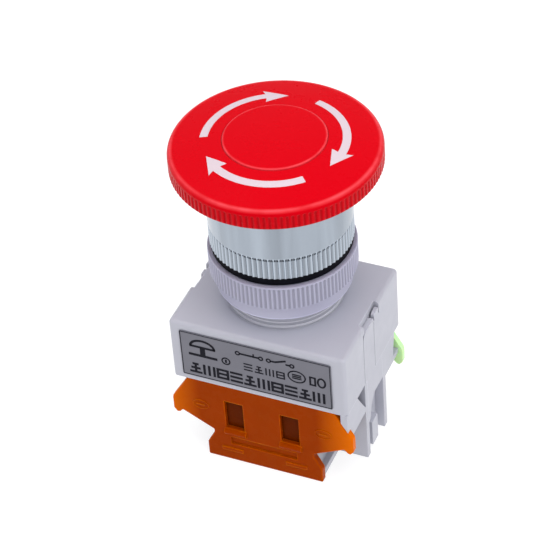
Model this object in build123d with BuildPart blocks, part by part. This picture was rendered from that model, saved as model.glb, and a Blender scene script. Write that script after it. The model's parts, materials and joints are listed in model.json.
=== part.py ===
"""Twist-release emergency stop button for a 22 mm panel hole, in millimetres.

The origin is on the button's axis, in the plane of the panel's front face, where the gasket bears. +Z points
out of the panel, along the button. -Y is the side with the label plate and the normally closed contact.
"""

import os
from math import cos, degrees, radians, sin, sqrt

from build123d import *

os.makedirs("parts", exist_ok=True)

# --- Driving dimensions -------------------------------------------------------------------------------------

PRESS = 5.5  # travel of the cap when it is struck
THREAD_R = 11.0  # neck for a 22 mm hole
THREAD_PITCH = 1.5
RUN_FIT = 0.05  # radial play of a part that turns or slides in a guide
PRESS_GAP = 0.02  # radial gap where a ring is pushed into its seat
CLEAR = 0.35  # gap between parts that pass each other

CAP_R = 20.0
CAP_LOW = 18.8  # lower edge of the mushroom rim
CAP_EDGE_R = 19.0  # where the dome meets the rounded rim
CAP_EDGE_Z = 22.85
DOME_TOP = 24.7
RIM_WALL = 1.7
RIM_FLUTES = 120
PLUG_R = 9.8
PLUG_STEP = 0.2  # the centre plug stands this far above the dome
PLUG_FLOOR = 23.2

BEZEL_R = 13.8
BEZEL_TOP = 14.7
BEZEL_BAND_TOP = 6.6
BEZEL_FLUTES = 84
GASKET_R = 13.6
GASKET_T = 1.7

NUT_R = 14.3
NUT_SKIRT_R = 13.2
NUT_BAND_LOW = -5.35
NUT_LOW = -8.8
NUT_FLUTES = 100
WASHER_T = 0.4

BODY_W = 36.2
BODY_FRONT = -15.4
BODY_BACK = 13.0
BODY_TOP = -12.9
BODY_LOW = -27.1
REST_Z = -46.9  # what the button stands on when it is off the panel
SHELL_T = 1.5
ROOF_T = 2.0
EDGE_R = 0.8
COLLAR_R, COLLAR_TOP = 11.1, -11.2
COLLAR_FOOT_R, COLLAR_FOOT_TOP = 11.35, -12.2

COVER_T = 1.35
WALL_T = 1.35
FRONT_WALL = -4.7  # frame side of the front contact block
REAR_WALL = 3.2  # frame side of the rear contact block
CHAMBER_X = 9.0  # half width of the contact chamber
CHAMBER_OUT = 10.6
TERMINAL_Z = -34.1  # underside of the terminal shelf
TERMINAL_X = 13.45
STRIP_T = 0.8
STRIP_W = 5.2

# --- Sizes that follow --------------------------------------------------------------------------------------

HALF_W = BODY_W / 2
NECK_BORE = 9.0
NECK_TOP = 10.0
LEDGE_R, LEDGE_Z = 8.2, -8.5  # step in the neck's bore that the latch sleeve stands on
ROD_R = 3.0
ROD_TOP = 7.0
ROD_TENON_R = 2.0  # the rod's lower end, in the yoke
TENON_END = 0.8  # what is left of the yoke below it
SPIGOT_R = 2.55
FLANGE_R = 6.6
FLANGE_LOW, FLANGE_TOP = -1.0, 3.0
HUB_R = 7.4
HUB_BORE = 5.0
HUB_LOW = 8.0
CAP_CEILING = 21.3
HUB_FLOOR_LOW, HUB_FLOOR_TOP = 19.5, 21.5
WELL_R = 6.0  # screw well under the centre plug
YOKE_TOP, YOKE_LOW = -22.0, -25.5
CARRIER_X = 2.6
PIN_R = 1.0
PIN_TRAVEL = 0.8  # how far each latch pin moves out over the whole press
DOME_SPHERE_R = (CAP_EDGE_R**2 + (DOME_TOP - CAP_EDGE_Z) ** 2) / (2 * (DOME_TOP - CAP_EDGE_Z))

FRONT = {"outer": BODY_FRONT, "wall": FRONT_WALL, "way": 1}
REAR = {"outer": BODY_BACK, "wall": REAR_WALL, "way": -1}
for block in (FRONT, REAR):
    block["tray"] = block["outer"] + block["way"] * COVER_T
    block["inner"] = block["wall"] - block["way"] * WALL_T
    block["mid"] = (block["tray"] + block["inner"]) / 2


def dome_z(radius, lift=0.0):
    """Height of the cap's dome at a distance from the axis."""
    return DOME_TOP + lift - DOME_SPHERE_R + sqrt(DOME_SPHERE_R**2 - radius**2)


def fill(x_span, y_span, z_span, mode=Mode.ADD):
    """A box between two limits on each axis, in the part that is being built."""
    spans = (x_span, y_span, z_span)
    with Locations(tuple(sum(span) / 2 for span in spans)):
        Box(*(abs(span[1] - span[0]) for span in spans), mode=mode)


def turned(*points):
    """A solid of revolution about the button's axis, from its corners as radius and height."""
    with BuildSketch(Plane.XZ) as profile:
        with BuildLine():
            Polyline(*points, close=True)
        make_face()
    revolve(profile.sketch, axis=Axis.Z)


def post(radius, low, high, x=0.0, y=0.0, mode=Mode.ADD):
    """An upright cylinder between two heights."""
    with Locations((x, y, (low + high) / 2)):
        Cylinder(radius, high - low, mode=mode)


def cut_flutes(count, band_r, flute_r, depth, low, high):
    """Cuts upright flutes around a band: open at the bottom, with a ball end at the top."""
    with BuildPart(mode=Mode.PRIVATE) as cutter:
        with BuildSketch(Plane.XZ):
            with BuildLine():
                Line((0, low), (flute_r, low))
                Line((flute_r, low), (flute_r, high))
                CenterArc((0, high), flute_r, 0, 90)
                Line((0, high + flute_r), (0, low))
            make_face()
        revolve(axis=Axis.Z)
    with PolarLocations(band_r + flute_r - depth, count):
        add(cutter.part, mode=Mode.SUBTRACT)


def coil(mean_r, wire_r, low, high, turns, x=0.0, y=0.0):
    """A helical spring between two heights, wire included."""
    rise = high - low - 2 * wire_r
    with BuildPart() as spring:
        with BuildLine():
            path = Helix(rise / turns, rise, mean_r, center=(x, y, low + wire_r))
        with BuildSketch(Plane(origin=path @ 0, z_dir=path % 0)):
            Circle(wire_r)
        sweep(path=path, is_frenet=True)
    return spring.part


def save(piece, name):
    """Labels a finished piece and writes its file."""
    piece.label = name
    export_step(piece, f"parts/{name}.step")


# --- Mounting base: box, collar and threaded neck -----------------------------------------------------------

TONGUE_Y = (-5.9, -0.3)
TONGUE_TOP = -14.7
NOTCH_X = 17.0
NOTCH_Y = (-5.1, 2.5)
NOTCH_LOW = -15.6
TAB_X = NOTCH_X + CLEAR  # the tab in each notch stands clear of the box's wall
TAB_Y = (TONGUE_Y[1] + CLEAR, NOTCH_Y[1] - CLEAR)
TAB_TOP = BODY_TOP - 1.1
BUSH_R, BUSH_LOW = 5.0, -18.0  # guide bush in the box's roof, which the rod slides in
SCREW_X, SCREW_Y = 11.0, (FRONT_WALL + REAR_WALL) / 2
BOSS_R, PILOT_R = 3.2, 1.4
GROOVES = 12
GROOVE_R = 0.75
NECK_CHAMFER = 0.5

with BuildPart() as mounting_base:
    fill((-HALF_W, HALF_W), (BODY_FRONT, BODY_BACK), (BODY_LOW, BODY_TOP))
    fillet(mounting_base.edges().filter_by(Axis.Z), EDGE_R)
    fillet(mounting_base.faces().sort_by(Axis.Z)[-1].edges(), EDGE_R)
    fill(
        (-HALF_W + SHELL_T, HALF_W - SHELL_T),
        (BODY_FRONT + SHELL_T, BODY_BACK - SHELL_T),
        (BODY_LOW, BODY_TOP - ROOF_T),
        Mode.SUBTRACT,
    )
    # stepped collar at the foot of the neck, then the neck itself
    post(COLLAR_FOOT_R, BODY_TOP - ROOF_T / 2, COLLAR_FOOT_TOP)
    post(COLLAR_R, BODY_TOP, COLLAR_TOP)
    post(THREAD_R, BODY_TOP, NECK_TOP)
    chamfer(mounting_base.edges().filter_by(GeomType.CIRCLE).sort_by(Axis.Z)[-1], NECK_CHAMFER)
    # screw bosses under the roof
    for side in (-1, 1):
        post(BOSS_R, BODY_LOW, BODY_TOP - ROOF_T, side * SCREW_X, SCREW_Y)
        post(PILOT_R, BODY_LOW, BUSH_LOW, side * SCREW_X, SCREW_Y, Mode.SUBTRACT)
    # bore with a ledge for the latch sleeve, and the hole for the guide bush
    post(NECK_BORE, LEDGE_Z, NECK_TOP, mode=Mode.SUBTRACT)
    post(LEDGE_R, BODY_TOP, LEDGE_Z, mode=Mode.SUBTRACT)
    post(BUSH_R + PRESS_GAP, BODY_TOP - ROOF_T - 1, BODY_TOP, mode=Mode.SUBTRACT)
    # thread grooves
    with BuildSketch(Plane.XZ):
        with Locations((THREAD_R, (NECK_TOP + NUT_LOW) / 2 - THREAD_PITCH)):
            with GridLocations(0, THREAD_PITCH, 1, GROOVES):
                RegularPolygon(GROOVE_R, 4)
    revolve(axis=Axis.Z, mode=Mode.SUBTRACT)
    # side notches with a tab in each, and the windows for the frame's snap tongues
    for side in (-1, 1):
        past_wall = side * (HALF_W + 1)
        fill((side * NOTCH_X, past_wall), NOTCH_Y, (NOTCH_LOW, BODY_TOP + 1), Mode.SUBTRACT)
        fill((side * (HALF_W - SHELL_T), past_wall), TONGUE_Y, (BODY_LOW, TONGUE_TOP + 0.1), Mode.SUBTRACT)
        with BuildSketch(Plane.YZ.offset(side * TAB_X)) as tab:
            with Locations((sum(TAB_Y) / 2, (NOTCH_LOW + TAB_TOP) / 2)):
                Rectangle(TAB_Y[1] - TAB_Y[0], TAB_TOP - NOTCH_LOW)
            fillet(tab.vertices().group_by(Axis.Z)[-1].sort_by(Axis.Y)[-1], EDGE_R)
        extrude(amount=side * (HALF_W - TAB_X))

with BuildPart() as guide_bush:
    post(BUSH_R, BUSH_LOW, BODY_TOP)
    post(ROD_R + RUN_FIT, BUSH_LOW, BODY_TOP, mode=Mode.SUBTRACT)

# --- Label plate --------------------------------------------------------------------------------------------

LABEL_X = (-15.9, 15.3)
LABEL_Z = (BODY_TOP - 13.0, BODY_TOP - 1.7)
LABEL_T = 0.2
LABEL_CORNER_R = 0.4

with BuildPart() as label_plate:
    fill(LABEL_X, (BODY_FRONT - LABEL_T, BODY_FRONT), LABEL_Z)
    fillet(label_plate.edges().filter_by(Axis.Y), LABEL_CORNER_R)

# --- Gasket, washer and panel nut ---------------------------------------------------------------------------

NECK_FIT_R = THREAD_R + RUN_FIT  # bore of everything that goes over the neck

with BuildPart() as panel_gasket:
    turned(
        (NECK_FIT_R, 0),
        (GASKET_R - 0.3, 0),
        (GASKET_R, 0.3),
        (GASKET_R, GASKET_T),
        (NECK_FIT_R, GASKET_T),
    )

NUT_TOP = -RUN_FIT
WASHER_R = 12.4
WASHER_SEAT_R = WASHER_R + 0.3
WASHER_SEAT_Z = NUT_TOP - WASHER_T - RUN_FIT
NUT_EDGE = 0.3  # chamfer on the nut's edges
NUT_FLUTE_R = 0.32

with BuildPart() as slip_washer:
    turned(
        (NECK_FIT_R, NUT_TOP - WASHER_T),
        (WASHER_R, NUT_TOP - WASHER_T),
        (WASHER_R, NUT_TOP),
        (NECK_FIT_R, NUT_TOP),
    )

with BuildPart() as panel_nut:
    turned(
        (NECK_FIT_R, NUT_LOW),
        (NUT_SKIRT_R - NUT_EDGE, NUT_LOW),
        (NUT_SKIRT_R, NUT_LOW + NUT_EDGE),
        (NUT_SKIRT_R, NUT_BAND_LOW),
        (NUT_R - NUT_EDGE, NUT_BAND_LOW),
        (NUT_R, NUT_BAND_LOW + NUT_EDGE),
        (NUT_R, NUT_TOP - NUT_EDGE),
        (NUT_R - NUT_EDGE, NUT_TOP),
        (WASHER_SEAT_R, NUT_TOP),
        (WASHER_SEAT_R, WASHER_SEAT_Z),
        (NECK_FIT_R, WASHER_SEAT_Z),
    )
    cut_flutes(NUT_FLUTES, NUT_R, NUT_FLUTE_R, 0.22, NUT_BAND_LOW - 0.5, NUT_TOP - NUT_EDGE - NUT_FLUTE_R)

# --- Bezel ring and shaft seal ------------------------------------------------------------------------------

SEAL_R, SEAL_BORE = 9.7, 8.3
SEAL_TOP = 12.9
LIP_LOW, LIP_TOP = 11.4, 11.9  # the seal's lip runs round the hub
BEZEL_OPENING_R = HUB_R + 0.5
NECK_CAP_Z = NECK_TOP + 0.3  # underside of the bezel over the neck's end
BEZEL_FLUTE_R = 0.46

with BuildPart() as bezel_ring:
    turned(
        (NECK_FIT_R, GASKET_T),
        (BEZEL_R, GASKET_T),
        (BEZEL_R, BEZEL_TOP - 0.6),
        (BEZEL_R - 0.2, BEZEL_TOP - 0.18),
        (BEZEL_R - 0.6, BEZEL_TOP),
        (BEZEL_OPENING_R, BEZEL_TOP),
        (BEZEL_OPENING_R, SEAL_TOP),
        (SEAL_R + 0.1, SEAL_TOP),
        (SEAL_R + 0.1, NECK_CAP_Z),
        (NECK_FIT_R, NECK_CAP_Z),
    )
    cut_flutes(BEZEL_FLUTES, BEZEL_R, BEZEL_FLUTE_R, 0.26, GASKET_T - 0.5, BEZEL_BAND_TOP - BEZEL_FLUTE_R)

with BuildPart() as shaft_seal:
    turned(
        (SEAL_BORE, NECK_TOP),
        (SEAL_R, NECK_TOP),
        (SEAL_R, SEAL_TOP),
        (SEAL_BORE, SEAL_TOP),
        (SEAL_BORE, LIP_TOP + 0.3),
        (HUB_R + CLEAR, LIP_TOP),
        (HUB_R + CLEAR, LIP_LOW),
        (SEAL_BORE, LIP_LOW - 0.4),
    )

# --- Latch sleeve, spindle and latch pins -------------------------------------------------------------------

SLEEVE_TOP = 2.2
SLEEVE_R = NECK_BORE - PRESS_GAP
SLEEVE_MOUTH_R = FLANGE_R + CLEAR
PIN_Z = (FLANGE_LOW + FLANGE_TOP) / 2
PIN_INNER = 2.4  # inner ends of the pins, where the spring pushes on them
CONE_SLOPE = PIN_TRAVEL / PRESS
LATCH_COIL_R, LATCH_WIRE_R, LATCH_TURNS = 0.65, 0.15, 6
CAP_THREAD_R = 1.3  # tapped hole for the cap screw

with BuildPart() as latch_sleeve:
    turned(
        (SLEEVE_MOUTH_R, SLEEVE_TOP),
        (SLEEVE_R, SLEEVE_TOP),
        (SLEEVE_R, LEDGE_Z),
        (SLEEVE_MOUTH_R + CONE_SLOPE * (SLEEVE_TOP - LEDGE_Z), LEDGE_Z),
    )

with BuildPart() as spindle:
    post(ROD_R, YOKE_TOP, FLANGE_LOW)
    post(ROD_TENON_R, YOKE_LOW + TENON_END, YOKE_TOP)
    post(FLANGE_R, FLANGE_LOW, FLANGE_TOP)
    post(ROD_R, FLANGE_TOP, ROD_TOP)
    post(SPIGOT_R, ROD_TOP, HUB_FLOOR_TOP + 0.1)
    post(CAP_THREAD_R, 15.0, HUB_FLOOR_TOP + 0.1, mode=Mode.SUBTRACT)
    with Locations(Location((0, 0, PIN_Z), (0, 90, 0))):
        Cylinder(PIN_R + RUN_FIT, 2 * FLANGE_R + 1, mode=Mode.SUBTRACT)


def latch_pin(side):
    """A round pin that stands out of the spindle flange, towards +X or -X."""
    with BuildPart() as pin:
        with Locations(Location((side * (FLANGE_R + PIN_INNER) / 2, 0, PIN_Z), (0, 90, 0))):
            Cylinder(PIN_R, FLANGE_R - PIN_INNER)
        chamfer(pin.edges().filter_by(GeomType.CIRCLE), 0.2)
    return pin.part


with BuildPart() as latch_spring:
    length = 2 * (PIN_INNER - LATCH_WIRE_R) - 0.1
    with BuildLine():
        latch_path = Helix(
            length / LATCH_TURNS, length, LATCH_COIL_R, center=(-length / 2, 0, PIN_Z), direction=(1, 0, 0)
        )
    with BuildSketch(Plane(origin=latch_path @ 0, z_dir=latch_path % 0)):
        Circle(LATCH_WIRE_R)
    sweep(path=latch_path, is_frenet=True)

# --- Mushroom cap, centre plug, arrows ----------------------------------------------------------------------

ARROW_R = 13.2
ARROW_W = 1.55
ARROW_SPAN = 94.5
ARROW_HEAD_L = 4.2
ARROW_HEAD_W = 4.1
ARROW_BARB = 1.5  # degrees that the head's barbs lie behind its neck
ARROW_DEPTH = 0.35
ARROW_PROUD = 0.04
ARROW_OUT_R = CAP_EDGE_R - 1
FIRST_TAIL = 196.0
RIM_START_Z = CAP_EDGE_Z - 1.0  # where the upright rim bends over into the dome
RIM_LIP = 0.4
RIM_FLUTE_R = 0.42
CEILING_STEP = 0.8
CAP_RIBS = 8
RIB_T, RIB_DEPTH = 1.2, 0.7

with BuildPart() as mushroom_cap:
    with BuildSketch(Plane.XZ):
        with BuildLine():
            Polyline(
                (PLUG_R, dome_z(PLUG_R)),
                (PLUG_R, PLUG_FLOOR),
                (WELL_R, PLUG_FLOOR),
                (WELL_R, HUB_FLOOR_TOP),
                (SPIGOT_R + RUN_FIT, HUB_FLOOR_TOP),
                (SPIGOT_R + RUN_FIT, HUB_FLOOR_LOW),
                (HUB_BORE, HUB_FLOOR_LOW),
                (HUB_BORE, HUB_LOW),
                (HUB_R, HUB_LOW),
                (HUB_R, CAP_CEILING),
                (CAP_R - RIM_WALL - CEILING_STEP, CAP_CEILING),
                (CAP_R - RIM_WALL, CAP_CEILING - CEILING_STEP),
                (CAP_R - RIM_WALL, CAP_LOW),
                (CAP_R - RIM_LIP, CAP_LOW),
                (CAP_R, CAP_LOW + RIM_LIP),
                (CAP_R, RIM_START_Z),
            )
            RadiusArc((CAP_R, RIM_START_Z), (CAP_EDGE_R, CAP_EDGE_Z), -1.05)
            ThreePointArc(
                (CAP_EDGE_R, CAP_EDGE_Z),
                ((CAP_EDGE_R + PLUG_R) / 2, dome_z((CAP_EDGE_R + PLUG_R) / 2)),
                (PLUG_R, dome_z(PLUG_R)),
            )
        make_face()
    revolve(axis=Axis.Z)
    # stiffening ribs under the dome, from the hub to the rim
    with PolarLocations(0, CAP_RIBS):
        with Locations(((HUB_R + CAP_R - RIM_WALL) / 2, 0, CAP_CEILING)):
            Box(CAP_R - RIM_WALL - HUB_R + 0.4, RIB_T, 2 * RIB_DEPTH)
    cut_flutes(RIM_FLUTES, CAP_R, RIM_FLUTE_R, 0.15, CAP_LOW - 0.5, RIM_START_Z - 0.35)


def arrow_shape(tail):
    """A clockwise arrow along a circle, in plan: a bent shaft and a straight-sided head."""
    tip = tail - ARROW_SPAN
    neck = tip + degrees(ARROW_HEAD_L / ARROW_R)
    middle = (tail + neck) / 2
    barb = neck + ARROW_BARB
    inner, outer = ARROW_R - ARROW_W / 2, ARROW_R + ARROW_W / 2
    head_in, head_out = ARROW_R - ARROW_HEAD_W / 2, ARROW_R + ARROW_HEAD_W / 2

    def at(radius, angle):
        return (radius * cos(radians(angle)), radius * sin(radians(angle)))

    with BuildLine() as outline:
        ThreePointArc(at(outer, tail), at(outer, middle), at(outer, neck))
        Polyline(at(outer, neck), at(head_out, barb), at(ARROW_R, tip), at(head_in, barb), at(inner, neck))
        ThreePointArc(at(inner, neck), at(inner, middle), at(inner, tail))
        Line(at(inner, tail), at(outer, tail))
    make_face(outline.edges())


with BuildPart() as cap_arrows:
    with BuildSketch(Plane.XY.offset(PLUG_FLOOR - 1)):
        for number in range(3):
            arrow_shape(FIRST_TAIL - 120 * number)
    extrude(amount=4)
    # trimmed to a thin layer that follows the dome
    low_in, low_mid, low_out = ((r, dome_z(r, -ARROW_DEPTH)) for r in (PLUG_R, ARROW_R, ARROW_OUT_R))
    top_in, top_mid, top_out = ((r, dome_z(r, ARROW_PROUD)) for r in (PLUG_R, ARROW_R, ARROW_OUT_R))
    with BuildSketch(Plane.XZ):
        with BuildLine():
            Line(top_out, low_out)
            ThreePointArc(low_out, low_mid, low_in)
            Line(low_in, top_in)
            ThreePointArc(top_in, top_mid, top_out)
        make_face()
    revolve(axis=Axis.Z, mode=Mode.INTERSECT)

with mushroom_cap:
    add(cap_arrows.part, mode=Mode.SUBTRACT)

PLUG_EDGE = 0.2
CLIP_T = 0.95

with BuildPart() as centre_plug:
    rim_r = PLUG_R - RUN_FIT
    top_r = rim_r - PLUG_EDGE
    with BuildSketch(Plane.XZ):
        with BuildLine():
            Polyline(
                (0, DOME_TOP + PLUG_STEP),
                (0, PLUG_FLOOR),
                (rim_r, PLUG_FLOOR),
                (rim_r, dome_z(PLUG_R)),
                (top_r, dome_z(top_r, PLUG_STEP)),
            )
            ThreePointArc(
                (top_r, dome_z(top_r, PLUG_STEP)),
                (PLUG_R / 2, dome_z(PLUG_R / 2, PLUG_STEP)),
                (0, DOME_TOP + PLUG_STEP),
            )
        make_face()
    revolve(axis=Axis.Z)
    # clip skirt that grips the wall of the screw well
    with BuildSketch(Plane.XY.offset(PLUG_FLOOR)):
        Circle(WELL_R - RUN_FIT)
        Circle(WELL_R - RUN_FIT - CLIP_T, mode=Mode.SUBTRACT)
    extrude(amount=-1.0)

SCREW_SEAT = HUB_FLOOR_TOP + 0.1
CAP_SCREW_HEAD_R, CAP_SCREW_HEAD_H = 4.0, 1.2
SLOT_W = 0.7

with BuildPart() as cap_screw:
    post(CAP_SCREW_HEAD_R, SCREW_SEAT, SCREW_SEAT + CAP_SCREW_HEAD_H)
    fillet(cap_screw.edges().sort_by(Axis.Z)[-1], 0.4)
    post(CAP_THREAD_R - RUN_FIT, 15.5, SCREW_SEAT)
    for turn in (0, 90):
        with Locations(Location((0, 0, SCREW_SEAT + CAP_SCREW_HEAD_H), (0, 0, turn))):
            Box(CAP_SCREW_HEAD_R, SLOT_W, 1.2, mode=Mode.SUBTRACT)

CAM_R, CAM_BORE, CAM_LOW = 6.5, 3.4, 4.6
CAM_SOCKET_R = 4.5

with BuildPart() as release_cam:
    turned(
        (CAM_BORE, CAM_LOW),
        (CAM_R, CAM_LOW),
        (CAM_R, HUB_LOW),
        (HUB_BORE - RUN_FIT, HUB_LOW),
        (HUB_BORE - RUN_FIT, HUB_LOW + 3.0),
        (CAM_SOCKET_R, HUB_LOW + 3.0),
        (CAM_SOCKET_R, CAM_LOW + 1.4),
        (CAM_BORE, CAM_LOW + 1.4),
    )
    # two lobes on its underside
    with PolarLocations((CAM_R + CAM_BORE) / 2, 2, start_angle=45):
        with Locations((0, 0, CAM_LOW - 0.3)):
            Box(2.0, 3.0, 1.4)

torsion_spring = coil(3.6, 0.35, 7.2, 17.5, 9)
return_spring = coil(5.2, 0.4, BODY_TOP, FLANGE_LOW, 6)

# --- Pusher yoke and contact carriers -----------------------------------------------------------------------

BRIDGE_HALF = 7.4
BRIDGE_W = 3.0
BRIDGE_T = 0.8
TIP_R = 1.2
TIP_T = 0.5
TIP_X = 6.3
NC_PAD_LOW = -31.55  # underside of the fixed pads of the closed contact
NC_BRIDGE_TOP = NC_PAD_LOW - 2 * TIP_T - RUN_FIT
NO_GAP = 3.0
NO_PAD_TOP = -39.6  # top of the fixed pads of the open contact
NO_BRIDGE_LOW = NO_PAD_TOP + 2 * TIP_T + NO_GAP + RUN_FIT
CARRIER_HALF_Y = 2.5
CARRIER_LOW = -39.3
WINDOW_HALF_Y = 1.75
NC_SPRING_SEAT, NO_SPRING_SEAT = -37.6, -29.0
CONTACT_COIL_R, CONTACT_WIRE_R = 1.3, 0.2

with BuildPart() as pusher_yoke:
    yoke_y = (FRONT["mid"] - CARRIER_HALF_Y - 0.1, REAR["mid"] + CARRIER_HALF_Y + 0.1)
    fill((-CARRIER_X, CARRIER_X), yoke_y, (YOKE_LOW, YOKE_TOP))
    post(ROD_TENON_R, YOKE_LOW + TENON_END, YOKE_TOP, mode=Mode.SUBTRACT)
    for end in (0, -1):
        fillet(pusher_yoke.edges().filter_by(Axis.Z).group_by(Axis.Y)[end], 0.6)


def carrier(mid, window):
    """A contact carrier under one end of the yoke, with a window that the moving bridge passes through."""
    with BuildPart() as piece:
        width = (-CARRIER_X, CARRIER_X)
        fill(width, (mid - CARRIER_HALF_Y, mid + CARRIER_HALF_Y), (CARRIER_LOW, YOKE_LOW))
        fill(width, (mid - WINDOW_HALF_Y, mid + WINDOW_HALF_Y), window, Mode.SUBTRACT)
    return piece.part


def bridge(mid, low):
    """The moving contact bar."""
    with BuildPart() as bar:
        fill((-BRIDGE_HALF, BRIDGE_HALF), (mid - BRIDGE_W / 2, mid + BRIDGE_W / 2), (low, low + BRIDGE_T))
        fillet(bar.edges().filter_by(Axis.Z), 0.8)
    return bar.part


def tips(mid, low):
    """A pair of silver contact tips."""
    with BuildPart() as pair:
        for side in (-1, 1):
            post(TIP_R, low, low + TIP_T, side * TIP_X, mid)
    return pair.part


def contact_spring(mid, low, high, turns):
    """The spring that lets a bridge give way once its tips have met."""
    return coil(CONTACT_COIL_R, CONTACT_WIRE_R, low, high, turns, 0, mid)


nc_carrier = carrier(FRONT["mid"], (NC_SPRING_SEAT, NC_BRIDGE_TOP + 0.2))
no_carrier = carrier(REAR["mid"], (NO_BRIDGE_LOW - 0.1, NO_SPRING_SEAT))
nc_bridge = bridge(FRONT["mid"], NC_BRIDGE_TOP - BRIDGE_T)
no_bridge = bridge(REAR["mid"], NO_BRIDGE_LOW)
nc_bridge_tips = tips(FRONT["mid"], NC_BRIDGE_TOP)
no_bridge_tips = tips(REAR["mid"], NO_BRIDGE_LOW - TIP_T)
nc_contact_spring = contact_spring(FRONT["mid"], NC_SPRING_SEAT, NC_BRIDGE_TOP - BRIDGE_T, 5)
no_contact_spring = contact_spring(REAR["mid"], NO_BRIDGE_LOW + BRIDGE_T, NO_SPRING_SEAT, 6)

with BuildPart() as fixed_contact_tips:
    for side in (-1, 1):
        post(TIP_R, NC_PAD_LOW - TIP_T, NC_PAD_LOW, side * TIP_X, FRONT["mid"])
        post(TIP_R, NO_PAD_TOP, NO_PAD_TOP + TIP_T, side * TIP_X, REAR["mid"])

LEG_OUT = CHAMBER_X - 0.1
PAD_END_X = 5.2
STRIP_END_X = 16.4
STRIP_HOLE_R = 1.9


def contact_strip(side, mid, pad_low):
    """A brass strip: terminal pad outside the chamber, upright leg inside it, inner pad for the tip."""
    leg = (side * LEG_OUT, side * (LEG_OUT - STRIP_T))
    width = (mid - STRIP_W / 2, mid + STRIP_W / 2)
    bar = (TERMINAL_Z - STRIP_T, TERMINAL_Z)
    pad = (pad_low, pad_low + STRIP_T)
    with BuildPart() as strip:
        fill((leg[1], side * STRIP_END_X), width, bar)
        fill(leg, width, (min(pad[0], bar[0]), max(pad[1], bar[1])))
        fill((leg[0], side * PAD_END_X), width, pad)
        post(STRIP_HOLE_R, *bar, side * TERMINAL_X, mid, Mode.SUBTRACT)
    return strip.part


# --- Contact blocks -----------------------------------------------------------------------------------------

FOOT_X = 12.2
WING_X = 19.0
FLOOR_T = 1.5
SHELF_T = 1.2
SIDE_PLATE_T = 1.4
SCREW_BOSS_R, SCREW_BORE_R, SCREW_BORE_TOP = 2.9, 1.75, -28.5
COVER_GAP = 0.1  # all round the cover, in its seat
YOKE_ROOM = 0.7  # beside and below the yoke, in the block's wall


def cover_outline(grow=0.0):
    """Outline of a cover in X and Z: straight top, winged sides with a hook, waist and foot."""
    right = [
        (15.3, BODY_LOW),
        (18.9, -33.0),
        (WING_X, -33.6),
        (WING_X, -36.4),
        (18.3, -37.3),
        (17.7, -37.1),
        (17.1, -36.35),
        (CHAMBER_OUT, -39.65),
        (CHAMBER_OUT, -40.5),
        (FOOT_X, -43.5),
        (FOOT_X, REST_Z),
    ]
    with BuildLine() as outline:
        Polyline(*right, *[(-x, z) for x, z in reversed(right)], close=True)
    make_face(outline.edges())
    if grow:
        offset(amount=grow, kind=Kind.INTERSECTION)


def side_plate(side, thickness, corners):
    """An upright plate just inside one side of the body, from its corners as Y and Z."""
    with BuildSketch(Plane.YZ.offset(side * HALF_W)) as plate:
        with BuildLine():
            Polyline(*corners, close=True)
        make_face()
    extrude(plate.sketch, amount=-side * thickness)


def contact_block(place, left_plate, right_plate):
    """A tray that its cover closes, with a chamber for the contact and a boss for each terminal screw."""
    tray, inner, wall, mid = place["tray"], place["inner"], place["wall"], place["mid"]
    depth = (tray, inner)
    slot = (mid - STRIP_W / 2 - RUN_FIT, mid + STRIP_W / 2 + RUN_FIT)
    with BuildPart() as block:
        fill((-HALF_W, HALF_W), (inner, wall), (REST_Z, BODY_LOW))
        fill((-FOOT_X + 0.4, FOOT_X - 0.4), depth, (REST_Z, REST_Z + FLOOR_T))
        for side, plate_corners in ((-1, left_plate), (1, right_plate)):
            chamber_wall = (side * CHAMBER_X, side * CHAMBER_OUT)
            fill(chamber_wall, depth, (REST_Z, BODY_LOW))
            fill((side * CHAMBER_X, side * HALF_W), depth, (TERMINAL_Z, TERMINAL_Z + SHELF_T))
            post(SCREW_BOSS_R, TERMINAL_Z, BODY_LOW, side * TERMINAL_X, mid)
            post(SCREW_BORE_R, TERMINAL_Z, SCREW_BORE_TOP, side * TERMINAL_X, mid, Mode.SUBTRACT)
            fill(chamber_wall, slot, (TERMINAL_Z - STRIP_T, TERMINAL_Z), Mode.SUBTRACT)
            side_plate(side, SIDE_PLATE_T, plate_corners)
        # way in for the pusher yoke
        way = CARRIER_X + YOKE_ROOM
        fill((-way, way), (inner, wall), (YOKE_LOW - PRESS - YOKE_ROOM, BODY_LOW), Mode.SUBTRACT)
        # seat of the cover
        with BuildSketch(Plane.XZ.offset(-place["outer"])):
            cover_outline(COVER_GAP)
        extrude(amount=-place["way"] * COVER_T, mode=Mode.SUBTRACT)
    return block.part


FRONT_PLATE_TAIL = [(FRONT["inner"], -33.4), (FRONT["inner"], BODY_LOW)]
FRONT_LEFT_PLATE = [(-9.9, BODY_LOW), *FRONT_PLATE_TAIL]
FRONT_RIGHT_PLATE = [
    (BODY_FRONT, BODY_LOW),
    (BODY_FRONT, TERMINAL_Z),
    (FRONT["inner"], TERMINAL_Z),
    (FRONT["inner"], -33.4),
    (-10.0, BODY_LOW),
]
REAR_PLATE = [
    (REAR["inner"], BODY_LOW),
    (9.9, BODY_LOW),
    (8.8, -33.1),
    (REAR["tray"] - 3.0, TERMINAL_Z),
    (REAR["inner"], TERMINAL_Z),
]

front_contact_block = contact_block(FRONT, FRONT_LEFT_PLATE, FRONT_RIGHT_PLATE)
rear_contact_block = contact_block(REAR, REAR_PLATE, REAR_PLATE)

PANE_X, PANE_Z = 5.85, -34.7  # the cover's two thin panes
PANE_W, PANE_H = 3.9, 7.2
PANE_T = 0.45
LIP_R, LIP_W, LIP_Z = 0.85, 4.6, -39.2
LIP_PROUD = 0.5
BAND_W, BAND_H, BAND_Z, BAND_DEPTH = 14.0, 1.9, -41.5, 0.35
BAR_X, BAR_Z, BAR_PROUD = (4.6, 9.0), (-44.4, -43.6), 0.2


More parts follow.
